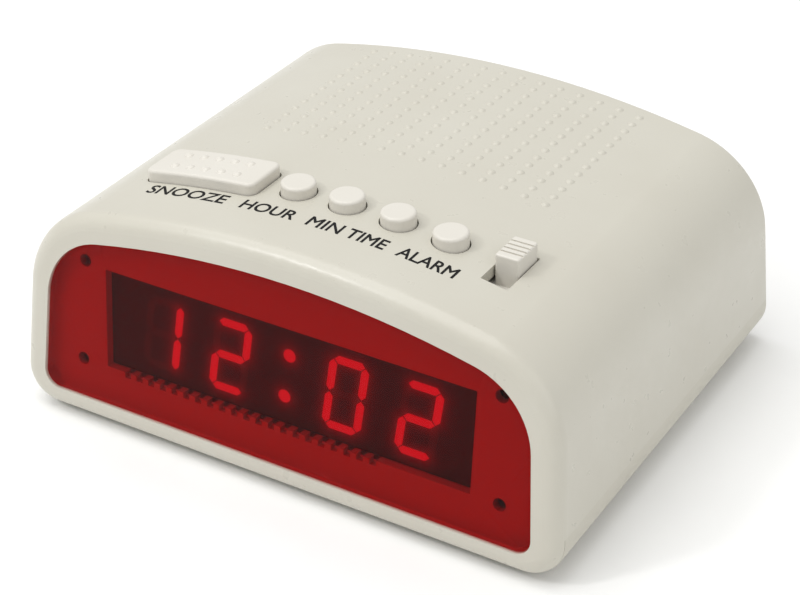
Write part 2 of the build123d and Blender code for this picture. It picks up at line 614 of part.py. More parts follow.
with BuildPart() as transformer_strap:
    with BuildSketch(Plane.XZ.offset(-TRAFO_Y)):
        with Locations((TRAFO_X, TRAFO_Z)):
            Rectangle(CORE_W + 2 * STRAP_T, CORE_H + STRAP_T, align=(Align.CENTER, Align.MIN))
            Rectangle(CORE_W + 2 * STRAP_T + 2 * STRAP_FOOT, STRAP_T, align=(Align.CENTER, Align.MIN))
            Rectangle(CORE_W, CORE_H, align=(Align.CENTER, Align.MIN), mode=Mode.SUBTRACT)
    extrude(amount=STRAP_D / 2, both=True)
    with BuildSketch(at(0, 0, TRAFO_Z)):
        with Locations([(x, TRAFO_Y) for x in STRAP_XS]):
            Circle(SMALL_SCREW_R + SCREW_PLAY)
    extrude(amount=STRAP_T, mode=Mode.SUBTRACT)
finish(transformer_strap, "transformer_strap")

strap_seats = [at(x, TRAFO_Y, TRAFO_Z + STRAP_T) for x in STRAP_XS]
finish(screws(strap_seats, SMALL_SCREW_R, SMALL_HEAD_R, SMALL_HEAD_T, 4.5), "transformer_screws")

# ---- Key board under the crown, with five push switches and the slide switch ----
SWITCH_W, SWITCH_H, SWITCH_FLOOR = 6.0, 3.5, 0.7
PRESS_XS = {**KEY_XS, "snooze": SNOOZE_X}

with BuildPart() as key_board:
    with BuildSketch(at(0, 0, KEY_BOARD_TOP)):
        with Locations((0, KEY_BOARD_Y)):
            Rectangle(KEY_BOARD_W, KEY_BOARD_D)
        with Locations(KEY_POSTS):
            Circle(SMALL_SCREW_R + SCREW_PLAY, mode=Mode.SUBTRACT)
    extrude(amount=-BOARD_T)
finish(key_board, "key_board")

key_seats = []
for x, y in KEY_POSTS:
    key_seats.append(Plane(origin=(x, y, KEY_BOARD_TOP - BOARD_T), x_dir=(1, 0, 0), z_dir=(0, 0, -1)))
finish(small_screws(key_seats), "key_board_screws")

with BuildPart() as key_switches:
    with BuildSketch(at(0, 0, KEY_BOARD_TOP)):
        with Locations([(x, KEY_Y) for x in PRESS_XS.values()]):
            Rectangle(SWITCH_W, SWITCH_W)
    extrude(amount=SWITCH_H)
    with BuildSketch(at(0, 0, KEY_BOARD_TOP + SWITCH_FLOOR)):
        with Locations([(x, KEY_Y) for x in PRESS_XS.values()]):
            Circle(PLUNGER_R + FIT)
    extrude(amount=SWITCH_H, mode=Mode.SUBTRACT)
finish(key_switches, "key_switches")

for name, x in PRESS_XS.items():
    with BuildPart() as plunger:
        with BuildSketch(at(x, KEY_Y, KEY_BOARD_TOP + SWITCH_FLOOR + 1)):
            Circle(PLUNGER_R)
        extrude(amount=PLUNGER_TOP - KEY_BOARD_TOP - SWITCH_FLOOR - 1)
    finish(plunger, f"{name}_plunger")

SLIDE_W, SLIDE_D, SLIDE_H = 6.4, 12.6, 4.0
LEVER_W, LEVER_D = 2.0, 2.6
KNOB_Y = KEY_Y + KNOB_HOME

with BuildPart() as slide_switch:
    with BuildSketch(at(KNOB_X, KEY_Y, KEY_BOARD_TOP)):
        Rectangle(SLIDE_W, SLIDE_D)
    extrude(amount=SLIDE_H)
    with BuildSketch(at(KNOB_X, KEY_Y, KEY_BOARD_TOP + SLIDE_H)):
        Rectangle(LEVER_W + 2 * FIT, LEVER_D + KNOB_TRAVEL + 4 * FIT)
    extrude(amount=-2.2, mode=Mode.SUBTRACT)
finish(slide_switch, "slide_switch")

# ---- Knob: a ribbed post on a skirt that keeps its slot covered, over the switch's lever ----
SKIRT_W, SKIRT_D, SKIRT_T = 7.6, 16.6, 1.1
SKIRT_TOP = crown_height(KNOB_X + SKIRT_W / 2, WALL) - FIT
KNOB_TOP = crown_height(KNOB_X) + KNOB_RISE
KNOB_SOCKET = 2.0

with BuildPart() as switch_lever:
    with BuildSketch(at(KNOB_X, KNOB_Y, KEY_BOARD_TOP + SLIDE_H - 2)):
        Rectangle(LEVER_W, LEVER_D)
    extrude(amount=SKIRT_TOP + KNOB_SOCKET - SKIRT_T - KEY_BOARD_TOP - SLIDE_H + 2)
finish(switch_lever, "switch_lever")

with BuildPart() as switch_knob:
    with BuildSketch(at(KNOB_X, KNOB_Y, SKIRT_TOP)):
        Rectangle(KNOB_W, KNOB_D)
    extrude(amount=KNOB_TOP - SKIRT_TOP)
    fillet(switch_knob.edges().filter_by(Axis.Z), 0.4)
    fillet(switch_knob.faces().sort_by(Axis.Z)[-1].edges(), 0.35)
    with BuildSketch(at(KNOB_X, KNOB_Y, KNOB_TOP)):
        with GridLocations(1, 1.25, 1, 4):
            Rectangle(KNOB_W, 0.4)
    extrude(amount=-0.3, mode=Mode.SUBTRACT)
    with BuildSketch(at(KNOB_X, KNOB_Y, SKIRT_TOP)):
        Rectangle(SKIRT_W, SKIRT_D)
    extrude(amount=-SKIRT_T)
    with BuildSketch(at(KNOB_X, KNOB_Y, SKIRT_TOP - SKIRT_T)):
        Rectangle(LEVER_W + 2 * SCREW_PLAY, LEVER_D + 2 * SCREW_PLAY)
    extrude(amount=KNOB_SOCKET, mode=Mode.SUBTRACT)
finish(switch_knob, "switch_knob")

# ---- Four round keys, each on a stem over its switch ----
LEDGE_GAP = 0.15

for name, x in KEY_XS.items():
    ledge = crown_height(abs(x) + KEY_R + FLANGE_LIP, WALL) - LEDGE_GAP
    top = crown_height(x) + KEY_RISE
    with BuildPart() as key:
        with BuildSketch(at(x, KEY_Y, ledge)):
            Circle(KEY_R)
        extrude(amount=top - ledge)
        fillet(key.faces().sort_by(Axis.Z)[-1].edges(), KEY_EDGE)
        with BuildSketch(at(x, KEY_Y, ledge)):
            Circle(KEY_R + FLANGE_LIP)
        extrude(amount=-FLANGE_T)
        with BuildSketch(at(x, KEY_Y, ledge - FLANGE_T)):
            Circle(PLUNGER_R)
        extrude(amount=PLUNGER_TOP - ledge + FLANGE_T)
    finish(key, f"{name}_button")


# ---- Snooze bar: a wide key that follows the crown, with ten grip pips ----
def crown_shell(outer, inner):
    """Ring around the crown's centre line between two radii."""
    with BuildPart() as shell:
        with BuildSketch(Plane.XZ):
            with Locations((0, CROWN_AXIS)):
                Circle(outer)
                Circle(inner, mode=Mode.SUBTRACT)
        extrude(amount=DEPTH / 2, both=True)
    return shell.part


def snooze_column(grow, corner):
    """Upright column with the snooze bar's outline, grown on every side."""
    with BuildPart() as column:
        with BuildSketch(at(SNOOZE_X, KEY_Y, KEY_BOARD_TOP)):
            RectangleRounded(SNOOZE_W + 2 * grow, SNOOZE_D + 2 * grow, corner)
        extrude(amount=HEIGHT / 2)
    return column.part


SNOOZE_LEDGE = CROWN_R - WALL - LEDGE_GAP
GRIP_R, GRIP_H = 0.85, 0.4
grip_sphere = (GRIP_R**2 + GRIP_H**2) / (2 * GRIP_H)

with BuildPart() as snooze_bar:
    add(snooze_column(0, 1.6) & crown_shell(CROWN_R + KEY_RISE, SNOOZE_LEDGE - FLANGE_T))
    fillet(snooze_bar.faces().sort_by(Axis.Z)[-1].edges(), 0.6)
    add(snooze_column(FLANGE_LIP, 2.0) & crown_shell(SNOOZE_LEDGE, SNOOZE_LEDGE - FLANGE_T))
    with BuildSketch(at(SNOOZE_X, KEY_Y, PLUNGER_TOP)):
        Circle(PLUNGER_R)
    extrude(amount=crown_height(SNOOZE_X, WALL) - PLUNGER_TOP)
    grips = []
    for row in (-0.5, 0.5):
        for col in range(-2, 3):
            x = SNOOZE_X + col * SNOOZE_PITCH_X
            z = crown_height(x, -KEY_RISE) + GRIP_H - grip_sphere
            grips.append((x, KEY_Y + row * SNOOZE_PITCH_Y, z))
    with Locations(grips):
        Sphere(grip_sphere)
finish(snooze_bar, "snooze_bar")


# ---- Flat cables between the boards ----
def ribbon(centre_x, ways, front_y, back_y, foot_front, foot_back, crest):
    """Flat cable that rises, turns over a half circle and drops again."""
    thick = 0.9
    radius = (back_y - front_y) / 2
    middle = (front_y + back_y) / 2
    with BuildPart() as cable:
        with BuildSketch(Plane.YZ.offset(centre_x)):
            with Locations((middle, crest)):
                Circle(radius + thick / 2)
                Circle(radius - thick / 2, mode=Mode.SUBTRACT)
                Rectangle(4 * radius, 4 * radius, align=(Align.CENTER, Align.MAX), mode=Mode.SUBTRACT)
            for y, foot in ((front_y, foot_front), (back_y, foot_back)):
                with Locations((y, foot)):
                    Rectangle(thick, crest - foot, align=(Align.CENTER, Align.MIN))
        extrude(amount=ways * PIN_PITCH / 2, both=True)
    return cable


PIN_TAIL = FRONT.offset(-PIN_BACK).from_local_coords((0, PIN_U, 0))
cable_x = PIN_START + (PIN_COUNT - 1) * PIN_PITCH / 2
crest = MAIN_TOP + 3.4
display_cable = ribbon(cable_x, PIN_COUNT, PIN_TAIL.Y + 0.5, -25.6, PIN_TAIL.Z - 0.5, MAIN_TOP, crest)
finish(display_cable, "display_cable")

with BuildPart() as key_cable:
    with BuildSketch(at(16, -20, MAIN_TOP)):
        Rectangle(16, 0.9)
    extrude(amount=KEY_BOARD_TOP - BOARD_T - MAIN_TOP)
finish(key_cable, "key_cable")

# ---- Battery snap and the inner leads ----
SNAP_X, SNAP_T = BAY_X - BAY_W / 2, 2.0

with BuildPart() as battery_snap:
    snap_face = Plane(origin=(SNAP_X, BAY_Y, FOOT_RISE + 11.5), x_dir=(0, 1, 0), z_dir=(1, 0, 0))
    with BuildSketch(snap_face):
        RectangleRounded(24, 14, 3)
    extrude(amount=SNAP_T)
    with BuildSketch(snap_face.offset(SNAP_T)):
        with GridLocations(12.7, 1, 2, 1):
            Circle(3)
    extrude(amount=1.2)
finish(battery_snap, "battery_snap")


def leads(paths, start):
    """Thin insulated wires that leave along start and come down upright onto the main board."""
    with BuildPart() as wires:
        for path in paths:
            with BuildLine() as route:
                Spline(*path, tangents=[start, (0, 0, -1)])
            with BuildSketch(Plane(origin=route.line @ 0, z_dir=route.line % 0)):
                Circle(0.55)
            sweep(path=route.line)
    return wires


LEAD_END_Y = -2.2
battery_paths = []
for x, y in [(-11.4, BAY_Y - 1), (-13.0, BAY_Y + 1)]:
    z = FOOT_RISE + BAY_H - LEAD_DROP
    rise = [(SNAP_X - 0.2, y, z), (x, y - 3, z - 1)]
    battery_paths.append(rise + [(x, 4, z - 4), (x, LEAD_END_Y, MAIN_TOP)])
finish(leads(battery_paths, (-1, 0, 0)), "battery_leads")

winding_paths = []
for i in range(3):
    x = TRAFO_X + 4 * (i - 1)
    front = TRAFO_Y - COIL_D / 2 + 0.5
    winding_paths.append([(x, front, 18), (x, front - 3.5, 16.5), (x, LEAD_END_Y, MAIN_TOP)])
finish(leads(winding_paths, (0, -1, 0)), "transformer_leads")

# ---- Cord bush in the rear wall ----
with BuildPart() as cord_bush:
    with BuildSketch(REAR):
        with Locations((-BUSH_X, BUSH_U)):
            Circle(BUSH_FLANGE_R)
    extrude(amount=BUSH_FLANGE_T)
    fillet(cord_bush.faces().sort_by(Axis.Y)[-1].edges(), 0.6)
    with BuildSketch(REAR):
        with Locations((-BUSH_X, BUSH_U)):
            Circle(BUSH_R)
    extrude(amount=-BUSH_L)
    with BuildSketch(REAR.offset(BUSH_FLANGE_T)):
        with Locations((-BUSH_X, BUSH_U)):
            Circle(BUSH_BORE)
    extrude(amount=-BUSH_FLANGE_T - BUSH_L, mode=Mode.SUBTRACT)
finish(cord_bush, "cord_bush")

# ---- Screws through the base and the rubber feet ----
base_seats = []
for x, y in BOSS_XY:
    base_seats.append(Plane(origin=(x, y, FOOT_RISE + COUNTERBORE), x_dir=(1, 0, 0), z_dir=(0, 0, -1)))
finish(screws(base_seats, SCREW_R, HEAD_R, HEAD_T, 12.0), "case_screws")

with BuildPart() as feet:
    with BuildSketch(at(0, 0, 0)):
        with Locations(FOOT_XY):
            Circle(FOOT_R)
    extrude(amount=FOOT_T)
    chamfer(feet.edges().filter_by(GeomType.CIRCLE).group_by(Axis.Z)[0], 0.4)
finish(feet, "feet")
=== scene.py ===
import math

import bmesh
import bpy
from mathutils import Matrix, Vector
from mathutils.bvhtree import BVHTree


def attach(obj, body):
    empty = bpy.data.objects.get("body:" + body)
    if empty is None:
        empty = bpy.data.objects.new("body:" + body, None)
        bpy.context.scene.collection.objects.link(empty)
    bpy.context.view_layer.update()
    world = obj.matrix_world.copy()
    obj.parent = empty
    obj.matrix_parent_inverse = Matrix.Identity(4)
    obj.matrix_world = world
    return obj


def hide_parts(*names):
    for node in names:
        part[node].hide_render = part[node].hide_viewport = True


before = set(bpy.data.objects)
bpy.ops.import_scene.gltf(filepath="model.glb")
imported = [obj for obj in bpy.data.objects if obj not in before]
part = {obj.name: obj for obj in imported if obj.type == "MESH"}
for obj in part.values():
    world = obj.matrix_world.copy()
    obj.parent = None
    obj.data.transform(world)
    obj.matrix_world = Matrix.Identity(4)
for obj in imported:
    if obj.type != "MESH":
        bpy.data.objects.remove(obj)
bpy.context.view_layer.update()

MM = 0.001

# ---- Base tray and battery door ----
# The tray is moulded in the same warm white ABS as the case, a shade duller, in a spark-eroded
# mould. The case drops over its lip, and the battery door hinges on two short pins.


def wear(part_object, finish):
    """Gives a finished piece its only material."""
    part_object.data.materials.clear()
    part_object.data.materials.append(finish)
    return part_object


def start_finish(name):
    """An empty finish: its nodes, its links, its shader and the piece's own coordinates."""
    finish = bpy.data.materials.new(name)
    finish.use_nodes = True
    nodes = finish.node_tree.nodes
    place = nodes.new("ShaderNodeTexCoord").outputs["Object"]
    return finish, nodes, finish.node_tree.links, nodes["Principled BSDF"], place


def speckle(nodes, links, place, size, detail=3.0, rough=0.5):
    """Noise whose lumps are about size metres across."""
    noise = nodes.new("ShaderNodeTexNoise")
    noise.inputs["Scale"].default_value = 1 / size
    noise.inputs["Detail"].default_value = detail
    noise.inputs["Roughness"].default_value = rough
    links.new(place, noise.inputs["Vector"])
    return noise.outputs["Fac"]


def spread(nodes, links, value, low, high, from_low=0.3, from_high=0.7):
    """Maps a pattern's usual swing onto low to high."""
    span = nodes.new("ShaderNodeMapRange")
    span.inputs["From Min"].default_value = from_low
    span.inputs["From Max"].default_value = from_high
    span.inputs["To Min"].default_value = low
    span.inputs["To Max"].default_value = high
    links.new(value, span.inputs["Value"])
    return span.outputs["Result"]


def blend_tones(nodes, links, value, first, second):
    """One tone where the pattern is 0, the other where it is 1."""
    mix = nodes.new("ShaderNodeMix")
    mix.data_type = "RGBA"
    links.new(value, mix.inputs["Factor"])
    mix.inputs["A"].default_value = (*first, 1)
    mix.inputs["B"].default_value = (*second, 1)
    return mix.outputs["Result"]


def roughen(nodes, links, shader, height, depth, strength=1.0):
    """Relief of depth metres from a 0 to 1 pattern."""
    bump = nodes.new("ShaderNodeBump")
    bump.inputs["Strength"].default_value = strength
    bump.inputs["Distance"].default_value = depth
    links.new(height, bump.inputs["Height"])
    links.new(bump.outputs["Normal"], shader.inputs["Normal"])


def moulded_plastic(name, light, dark, gloss, grain, depth):
    """Plastic with a slow drift in tone, a fine mould grain and slightly uneven gloss."""
    finish, nodes, links, shader, place = start_finish(name)
    drift = spread(nodes, links, speckle(nodes, links, place, 22 * MM), 0, 1)
    links.new(blend_tones(nodes, links, drift, light, dark), shader.inputs["Base Color"])
    patches = speckle(nodes, links, place, 3 * MM, 4.0)
    links.new(spread(nodes, links, patches, gloss - 0.04, gloss + 0.05), shader.inputs["Roughness"])
    shader.inputs["IOR"].default_value = 1.5
    roughen(nodes, links, shader, speckle(nodes, links, place, grain, 2.0), depth)
    return finish


tray_plastic = moulded_plastic(
    "tray_plastic", light=(0.55, 0.53, 0.455), dark=(0.53, 0.505, 0.43),
    gloss=0.42, grain=0.4 * MM, depth=0.01 * MM)
wear(part["base"], tray_plastic)
wear(part["battery_door"], tray_plastic)

# ---- Feet and case screws ----
# Four moulded rubber discs sit in recesses of the tray. Four zinc-plated screws with cross
# recesses come up through the tray's corners and hold the case down.
foot_rubber = moulded_plastic(
    "foot_rubber", light=(0.030, 0.030, 0.031), dark=(0.018, 0.018, 0.018),
    gloss=0.72, grain=0.2 * MM, depth=0.03 * MM)
wear(part["feet"], foot_rubber)


def plated_metal(name, tone, stain, gloss, brush):
    """Plated or tinned metal, with drawn streaks of brush metres and faint stains."""
    finish, nodes, links, shader, place = start_finish(name)
    shader.inputs["Metallic"].default_value = 1.0
    stains = spread(nodes, links, speckle(nodes, links, place, 1.6 * MM), 0, 1)
    links.new(blend_tones(nodes, links, stains, tone, stain), shader.inputs["Base Color"])
    streaks = nodes.new("ShaderNodeMapping")
    streaks.inputs["Scale"].default_value = (1, 0.08, 1)
    links.new(place, streaks.inputs["Vector"])
    drawn = speckle(nodes, links, streaks.outputs["Vector"], brush)
    links.new(spread(nodes, links, drawn, gloss - 0.06, gloss + 0.10), shader.inputs["Roughness"])
    roughen(nodes, links, shader, drawn, 0.01 * MM)
    return finish


zinc_plate = plated_metal(
    "zinc_plate", tone=(0.62, 0.61, 0.57), stain=(0.50, 0.47, 0.38), gloss=0.30, brush=0.3 * MM)
for held in ("case", "main_board", "key_board", "display", "transformer"):
    wear(part[held + "_screws"], zinc_plate)

# ---- Circuit boards ----
# Brown phenolic-paper laminate under a clear lacquer. The paper's fibres show as soft mottling
# along one direction.


def laminate(name, light, dark):
    """Phenolic paper: fibrous mottling under a glossy lacquer."""
    finish, nodes, links, shader, place = start_finish(name)
    along = nodes.new("ShaderNodeMapping")
    along.inputs["Scale"].default_value = (0.25, 1, 1)
    links.new(place, along.inputs["Vector"])
    fibres = speckle(nodes, links, along.outputs["Vector"], 0.9 * MM, 6.0, 0.6)
    tone = blend_tones(nodes, links, spread(nodes, links, fibres, 0, 1), light, dark)
    links.new(tone, shader.inputs["Base Color"])
    links.new(spread(nodes, links, fibres, 0.28, 0.42), shader.inputs["Roughness"])
    shader.inputs["Coat Weight"].default_value = 0.6
    shader.inputs["Coat Roughness"].default_value = 0.12
    roughen(nodes, links, shader, fibres, 0.01 * MM)
    return finish


board_laminate = laminate("board_laminate", (0.36, 0.22, 0.09), (0.27, 0.15, 0.05))
for node in ("main_board", "key_board", "display_board"):
    wear(part[node], board_laminate)

# ---- Parts on the boards ----
# Epoxy-moulded chip, transistors, diodes and switch bodies, sleeved electrolytic capacitors,
# lacquered resistors and a plastic-cased buzzer, all soldered through the main and key boards.
epoxy = moulded_plastic(
    "epoxy", light=(0.022, 0.022, 0.023), dark=(0.014, 0.014, 0.014),
    gloss=0.52, grain=0.12 * MM, depth=0.02 * MM)
for node in ("clock_chip", "diodes", "transistors", "buzzer", "key_switches", "battery_snap"):
    wear(part[node], epoxy)


def facing(nodes, links, direction, least, most):
    """1 where a face points along direction, 0 where it doesn't."""
    geometry = nodes.new("ShaderNodeNewGeometry")
    dot = nodes.new("ShaderNodeVectorMath")
    dot.operation = "DOT_PRODUCT"
    dot.inputs[1].default_value = direction
    links.new(geometry.outputs["Normal"], dot.inputs[0])
    return spread(nodes, links, dot.outputs["Value"], 0, 1, least, most)


def shrunk_sleeve():
    """Dark sleeve with a pale stripe down one side."""
    finish, nodes, links, shader, place = start_finish("shrunk_sleeve")
    stripe = facing(nodes, links, (1, 0, 0), least=0.88, most=0.90)
    sleeve = blend_tones(nodes, links, stripe, first=(0.012, 0.022, 0.075), second=(0.42, 0.44, 0.46))
    links.new(sleeve, shader.inputs["Base Color"])
    wrinkles = speckle(nodes, links, place, 1.2 * MM)
    links.new(spread(nodes, links, wrinkles, 0.18, 0.32), shader.inputs["Roughness"])
    roughen(nodes, links, shader, wrinkles, 0.03 * MM)
    return finish


wear(part["capacitors"], shrunk_sleeve())
resistor_lacquer = moulded_plastic(
    "resistor_lacquer", light=(0.55, 0.40, 0.22), dark=(0.46, 0.32, 0.16),
    gloss=0.3, grain=0.6 * MM, depth=0.02 * MM)
wear(part["resistors"], resistor_lacquer)

# ---- Transformer ----
# Stacked steel sheets round a nylon bobbin with a taped winding, under a folded steel strap
# screwed to two posts of the tray.
SHEET_PAIR = 1.0 * MM


def bands(nodes, links, place, direction, period):
    """Even bands across one direction, with a light and a dark one in each period."""
    wave = nodes.new("ShaderNodeTexWave")
    wave.bands_direction = direction
    wave.inputs["Scale"].default_value = math.pi / (10 * period)
    links.new(place, wave.inputs["Vector"])
    return wave


def stacked_sheets():
    """Dark varnished steel sheets half a millimetre thick, seen edge on."""
    finish, nodes, links, shader, place = start_finish("stacked_sheets")
    layers = bands(nodes, links, place, "Z", SHEET_PAIR)
    layers.inputs["Distortion"].default_value = 0.6
    rust = spread(nodes, links, speckle(nodes, links, place, 2.5 * MM), 0, 1)
    steel = blend_tones(nodes, links, rust, first=(0.10, 0.095, 0.09), second=(0.15, 0.10, 0.06))
    links.new(steel, shader.inputs["Base Color"])
    shader.inputs["Metallic"].default_value = 0.7
    links.new(spread(nodes, links, layers.outputs["Fac"], 0.38, 0.6, 0, 1), shader.inputs["Roughness"])
    roughen(nodes, links, shader, layers.outputs["Fac"], 0.06 * MM)
    return finish


wear(part["transformer_core"], stacked_sheets())
nylon = moulded_plastic(
    "nylon", light=(0.74, 0.71, 0.62), dark=(0.68, 0.64, 0.55),
    gloss=0.42, grain=0.5 * MM, depth=0.01 * MM)
wear(part["transformer_bobbin"], nylon)
film_tape = moulded_plastic(
    "film_tape", light=(0.62, 0.42, 0.05), dark=(0.52, 0.33, 0.03),
    gloss=0.22, grain=2.0 * MM, depth=0.05 * MM)
wear(part["transformer_winding"], film_tape)
wear(part["transformer_strap"], zinc_plate)
wear(part["slide_switch"], zinc_plate)

# ---- Cables, leads and cord bush ----
# Grey vinyl flat cables join the boards, thin red leads run from the battery snap and the
# winding, and a soft black vinyl bush lines the cord's hole in the rear wall.
PIN_PITCH = 2.54 * MM


def flat_cable():
    """Grey vinyl, ribbed once for each core, with painted shade darkening the grooves between cores."""
    finish, nodes, links, shader, place = start_finish("flat_cable")
    cores = bands(nodes, links, place, "X", PIN_PITCH).outputs["Fac"]
    # Painted shade: the tone is darker where the ribs dip into grooves.
    vinyl = blend_tones(nodes, links, cores, first=(0.30, 0.30, 0.31), second=(0.42, 0.42, 0.43))
    links.new(vinyl, shader.inputs["Base Color"])
    shader.inputs["Roughness"].default_value = 0.45
    roughen(nodes, links, shader, cores, 0.3 * MM)
    return finish


ribbon_vinyl = flat_cable()
wear(part["display_cable"], ribbon_vinyl)
wear(part["key_cable"], ribbon_vinyl)
lead_vinyl = moulded_plastic(
    "lead_vinyl", light=(0.42, 0.02, 0.02), dark=(0.34, 0.01, 0.01),
    gloss=0.35, grain=1.0 * MM, depth=0.02 * MM)
wear(part["battery_leads"], lead_vinyl)
wear(part["transformer_leads"], lead_vinyl)
bush_vinyl = moulded_plastic(
    "bush_vinyl", light=(0.025, 0.025, 0.026), dark=(0.017, 0.017, 0.018),
    gloss=0.5, grain=0.3 * MM, depth=0.02 * MM)
wear(part["cord_bush"], bush_vinyl)

# ---- Display module ----
# A black-faced module: slanted segments of milky resin in a moulded housing, on a board with a
# row of tinned pins. The lit segments show the time, and a clear sheet over the face carries a
# painted glow round them.
DIGIT_X = (-25.8 * MM, -11.6 * MM, 11.6 * MM, 25.8 * MM)
DIGIT_U = 20.0 * MM
DIGIT_H = 14.2 * MM
SIDE_BAR = 0.16 * DIGIT_H  # an upright bar's middle is further than this from the digit's
MIDDLE_BAR = 0.2 * DIGIT_H  # and the middle bar's is nearer than this
DIGIT_REACH = 0.4 * DIGIT_H
SHOWN = ("bc", "abged", "abcdef", "abged")
LEAN = math.radians(6.3)
SLANT = math.tan(math.radians(6))
MERGE = 0.001 * MM
face_up = Vector((0, math.sin(LEAN), math.cos(LEAN)))
face_out = Vector((0, -math.cos(LEAN), math.sin(LEAN)))
face_origin = Vector((0, -44.4 * MM, MM))


def on_face(point):
    """Across and up along the leaning front, from the floor line of the case."""
    away = point - face_origin
    return away.x, away.dot(face_up)


def segment_letter(across, up):
    """Which of a digit's seven segments lies at that place from its middle."""
    straight = across - up * SLANT
    if abs(straight) > SIDE_BAR:
        pair = "bc" if straight > 0 else "fe"
        return pair[0 if up > 0 else 1]
    if abs(up) < MIDDLE_BAR:
        return "g"
    return "a" if up > 0 else "d"


def is_lit(middle):
    """Whether the bar or dot at that place is on; the colon, between the digits, always is."""
    across, up = on_face(middle)
    digit = min(range(len(DIGIT_X)), key=lambda i: abs(DIGIT_X[i] - across))
    if abs(DIGIT_X[digit] - across) > DIGIT_REACH:
        return True
    return segment_letter(across - DIGIT_X[digit], up - DIGIT_U) in SHOWN[digit]


def loose_shells(mesh):
    """Each separate solid of a mesh, as a list of its faces."""
    left, shells = set(mesh.faces), []
    while left:
        shell, waiting = [], [left.pop()]
        while waiting:
            face = waiting.pop()
            shell.append(face)
            for edge in face.edges:
                for other in edge.link_faces:
                    if other in left:
                        left.remove(other)
                        waiting.append(other)
        shells.append(shell)
    return shells


def middle_of(shell):
    """The middle of a solid's box."""
    corners = [v.co for f in shell for v in f.verts]
    low = Vector([min(c[i] for c in corners) for i in range(3)])
    high = Vector([max(c[i] for c in corners) for i in range(3)])
    return (low + high) / 2


def merged_copy(node):
    """A node's triangles, joined where they meet."""
    mesh = bmesh.new()
    mesh.from_mesh(part[node].data)
    bmesh.ops.remove_doubles(mesh, verts=mesh.verts, dist=MERGE)
    return mesh


def set_down(name, mesh):
    """A new piece of that mesh, at the origin."""
    piece = bpy.data.objects.new(name, bpy.data.meshes.new(name))
    mesh.to_mesh(piece.data)
    mesh.free()
    bpy.context.collection.objects.link(piece)
    return piece


def finished_mesh(piece):
    """What a piece's modifiers make of it, as a plain mesh."""
    return bpy.data.meshes.new_from_object(piece.evaluated_get(bpy.context.evaluated_depsgraph_get()))


def keep_segments(name, lit):
    """The segments that are lit, or those that aren't, as one piece."""
    mesh = merged_copy("display_segments")
    for shell in loose_shells(mesh):
        if is_lit(middle_of(shell)) != lit:
            bmesh.ops.delete(mesh, geom=shell, context="FACES")
    return set_down(name, mesh)


def glowing_resin():
    """Milky resin lit from within, not quite evenly."""
    finish, nodes, links, shader, place = start_finish("glowing_resin")
    shader.inputs["Base Color"].default_value = (0.2, 0.02, 0.015, 1)
    shader.inputs["Roughness"].default_value = 0.4
    hot = spread(nodes, links, speckle(nodes, links, place, 2.2 * MM, 1.0), 0, 1)
    light = blend_tones(nodes, links, hot, first=(1.0, 0.006, 0.13), second=(1.0, 0.02, 0.17))
    links.new(light, shader.inputs["Emission Color"])
    shader.inputs["Emission Strength"].default_value = 0.70
    return finish


lit_segments = wear(keep_segments("lit_segments", True), glowing_resin())
unlit_resin = moulded_plastic(
    "unlit_resin", light=(0.05, 0.035, 0.033), dark=(0.04, 0.028, 0.026),
    gloss=0.5, grain=0.3 * MM, depth=0.01 * MM)
dark_segments = wear(keep_segments("dark_segments", False), unlit_resin)
for segments in (lit_segments, dark_segments):
    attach(segments, "clock")
    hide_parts("display_segments")
face_paint = moulded_plastic(
    "face_paint", light=(0.012, 0.010, 0.010), dark=(0.007, 0.006, 0.006),
    gloss=0.58, grain=0.6 * MM, depth=0.0005 * MM)
wear(part["display_housing"], face_paint)
tinned = plated_metal(
    "tinned", tone=(0.62, 0.61, 0.60), stain=(0.45, 0.43, 0.40), gloss=0.32, brush=0.2 * MM)
wear(part["display_pins"], tinned)
PIN_COUNT = 21
FIRST_PIN_X = -32.4 * MM
PIN_U = 10.3 * MM
board_back = min((v.co - face_origin).dot(face_out) for v in part["display_board"].data.vertices)


